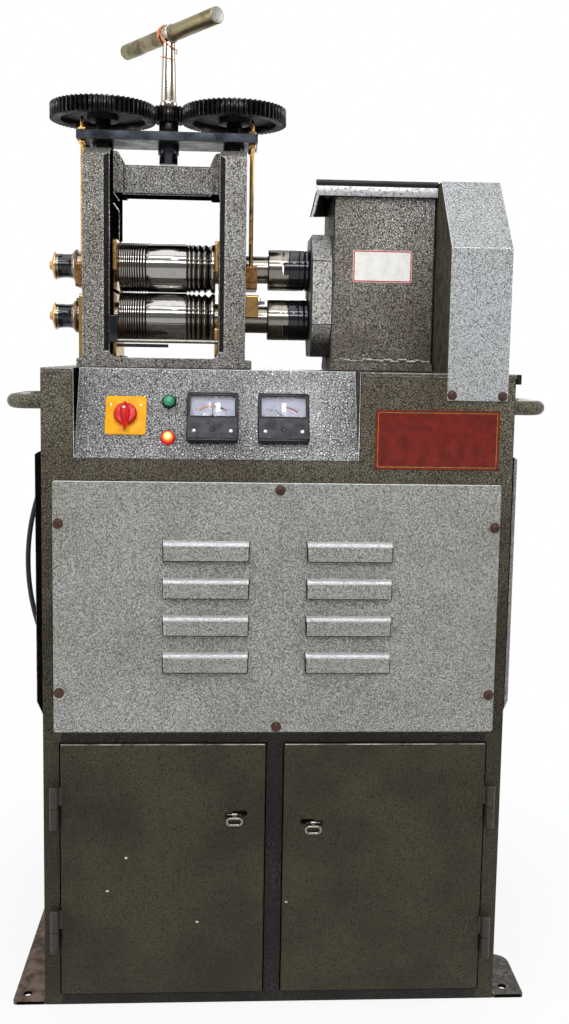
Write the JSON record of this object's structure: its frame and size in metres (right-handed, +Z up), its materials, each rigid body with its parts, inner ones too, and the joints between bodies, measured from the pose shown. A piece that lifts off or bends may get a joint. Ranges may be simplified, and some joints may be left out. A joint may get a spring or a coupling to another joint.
{
  "type": "jewellers rolling mill",
  "caption": "Motor driven jewellers rolling mill on a sheet metal cabinet: grooved rolls, geared lift screws under a cross handle, slotted couplings, belt guard and hinged doors.",
  "frame": {"origin": "centre of the cabinet floor's underside, on the ground plane", "axes": "+Z up, front of the cabinet faces -Y, +X to the right seen from the front"},
  "size_m": [0.775, 0.4775, 1.454],
  "materials": {
    "dark_hammertone": "dark olive brown hammertone paint",
    "grey_hammertone": "grey bronze hammertone paint",
    "silver_hammertone": "silver hammertone paint",
    "black_paint": "satin black paint",
    "rusty_steel": "bare steel with light rust",
    "black_oxide": "machined and blackened",
    "ground_steel": "ground and polished",
    "bare_steel": "turned, bare",
    "blued_plate": "blue grey flame cut plate",
    "bronze": "bearing bronze, dull with oil",
    "brass": "turned brass",
    "aged_steel": "handled steel, khaki cast",
    "black_plastic": "moulded",
    "yellow_plastic": "moulded switch plate",
    "red_plastic": "moulded knob",
    "green_lens": "clear moulded lens",
    "red_lens": "clear moulded lens",
    "rubber": "matt"
  },
  "bodies": {
    "cabinet": {"floor_plate": "dark_hammertone", "left_foot": "rusty_steel", "right_front_foot": "rusty_steel", "right_rear_foot": "rusty_steel", "left_side": "dark_hammertone", "right_side": "dark_hammertone", "back_panel": "dark_hammertone", "top_plate": "grey_hammertone", "front_frame": "dark_hammertone", "motor_shelf": "dark_hammertone", "control_panel": "silver_hammertone", "vent_cover": "silver_hammertone", "left_side_cover": "silver_hammertone", "right_side_cover": "silver_hammertone", "side_lead": "rubber", "left_lift_handle": "dark_hammertone", "right_lift_handle": "dark_hammertone", "switch_plate": "yellow_plastic", "green_lamp": "green_lens", "red_lamp": "red_lens", "volt_meter": "black_plastic", "amp_meter": "black_plastic", "mill_frame": "grey_hammertone", "lower_left_bearing": "brass", "lower_right_bearing": "brass", "guard_rod": "bare_steel", "roll_wiper": "rusty_steel", "shaft_flange": "grey_hammertone", "gearbox_housing": "grey_hammertone", "gearbox_lid": "black_paint", "belt_guard": "silver_hammertone", "drive_belt": "rubber", "motor": "grey_hammertone"},
    "bridge": {"screw_plate": "blued_plate", "upper_left_bearing": "bronze", "upper_right_bearing": "bronze"},
    "left_gear": {"left_screw": "black_oxide", "left_gear": "black_oxide"},
    "right_gear": {"right_screw": "black_oxide", "right_gear": "black_oxide"},
    "pinion": {"pinion": "black_oxide", "handle_stem": "bare_steel", "handle_bar": "aged_steel"},
    "upper_roll": {"upper_roll": "ground_steel", "upper_end_nut": "brass", "upper_disc": "black_oxide"},
    "upper_output": {"upper_output_hub": "black_oxide"},
    "lower_roll": {"lower_roll": "ground_steel", "lower_end_nut": "brass", "lower_disc": "black_oxide", "lower_output_hub": "black_oxide"},
    "input_pulley": {"input_pulley": "bare_steel"},
    "motor_pulley": {"motor_pulley": "bare_steel"},
    "left_door": {"left_door": "dark_hammertone"},
    "left_pull": {"left_pull": "ground_steel"},
    "right_door": {"right_door": "dark_hammertone"},
    "right_pull": {"right_pull": "ground_steel"},
    "switch_knob": {"switch_knob": "red_plastic"},
    "volt_needle": {"volt_needle": "black_paint"},
    "amp_needle": {"amp_needle": "black_paint"}
  },
  "joints": [
    {"name": "left_screw_spin", "type": "hinge", "parent": "bridge", "child": "left_gear", "pos_m": [-0.269, -0.033, 1.32], "axis": [0, 0, 1], "range_deg": [-36, 540]},
    {"name": "right_screw_spin", "type": "hinge", "parent": "bridge", "child": "right_gear", "pos_m": [-0.069, -0.033, 1.32], "axis": [0, 0, 1], "range_deg": [-37, 541]},
    {"name": "pinion_spin", "type": "hinge", "parent": "bridge", "child": "pinion", "pos_m": [-0.169, -0.033, 1.32], "axis": [0, 0, 1], "range_deg": [-1862, 126]},
    {"name": "bridge_lift", "type": "slide", "parent": "cabinet", "child": "bridge", "axis": [0, 0, 1], "range_m": [-0.00031, 0.00451]},
    {"name": "input_pulley_spin", "type": "hinge", "parent": "cabinet", "child": "input_pulley", "pos_m": [0.276, -0.033, 1.065], "axis": [1, 0, 0], "continuous": true},
    {"name": "motor_pulley_spin", "type": "hinge", "parent": "cabinet", "child": "motor_pulley", "pos_m": [0.276, -0.033, 0.5], "axis": [1, 0, 0], "continuous": true},
    {"name": "lower_roll_spin", "type": "hinge", "parent": "cabinet", "child": "lower_roll", "pos_m": [-0.169, -0.033, 1.0125], "axis": [1, 0, 0], "continuous": true},
    {"name": "upper_roll_spin", "type": "hinge", "parent": "bridge", "child": "upper_roll", "pos_m": [-0.169, -0.033, 1.0891], "axis": [1, 0, 0], "continuous": true},
    {"name": "upper_output_spin", "type": "hinge", "parent": "cabinet", "child": "upper_output", "pos_m": [0.042, -0.033, 1.0891], "axis": [1, 0, 0], "continuous": true},
    {"name": "left_door_swing", "type": "hinge", "parent": "cabinet", "child": "left_door", "pos_m": [-0.317, -0.233, 0.2], "axis": [0, 0, -1], "range_deg": [0, 110]},
    {"name": "right_door_swing", "type": "hinge", "parent": "cabinet", "child": "right_door", "pos_m": [0.317, -0.233, 0.2], "axis": [0, 0, 1], "range_deg": [0, 110]},
    {"name": "left_pull_swing", "type": "hinge", "parent": "left_door", "child": "left_pull", "pos_m": [-0.0575, -0.227, 0.291], "axis": [-1, 0, 0], "range_deg": [0, 70]},
    {"name": "right_pull_swing", "type": "hinge", "parent": "right_door", "child": "right_pull", "pos_m": [0.0575, -0.227, 0.278], "axis": [-1, 0, 0], "range_deg": [0, 70]},
    {"name": "switch_turn", "type": "hinge", "parent": "cabinet", "child": "switch_knob", "pos_m": [-0.2176, -0.20001, 0.8684], "axis": [0, 0.9218, -0.3877], "range_deg": [-60, 60]},
    {"name": "volt_needle_swing", "type": "hinge", "parent": "cabinet", "child": "volt_needle", "pos_m": [-0.095, -0.20067, 0.86684], "axis": [0, 0.9218, -0.3877], "range_deg": [-45, 45]},
    {"name": "amp_needle_swing", "type": "hinge", "parent": "cabinet", "child": "amp_needle", "pos_m": [0.0056, -0.20067, 0.86684], "axis": [0, 0.9218, -0.3877], "range_deg": [0, 90]}
  ],
  "couplings": [
    {"joint": "right_screw_spin", "follows": "left_screw_spin", "ratio": 1},
    {"joint": "pinion_spin", "follows": "left_screw_spin", "ratio": -3.4444},
    {"joint": "bridge_lift", "follows": "left_screw_spin", "m_per_rad": 0.00047746},
    {"joint": "motor_pulley_spin", "follows": "input_pulley_spin", "ratio": 2.7222},
    {"joint": "lower_roll_spin", "follows": "input_pulley_spin", "ratio": -0.066667},
    {"joint": "upper_roll_spin", "follows": "input_pulley_spin", "ratio": 0.066667},
    {"joint": "upper_output_spin", "follows": "input_pulley_spin", "ratio": 0.066667}
  ]
}
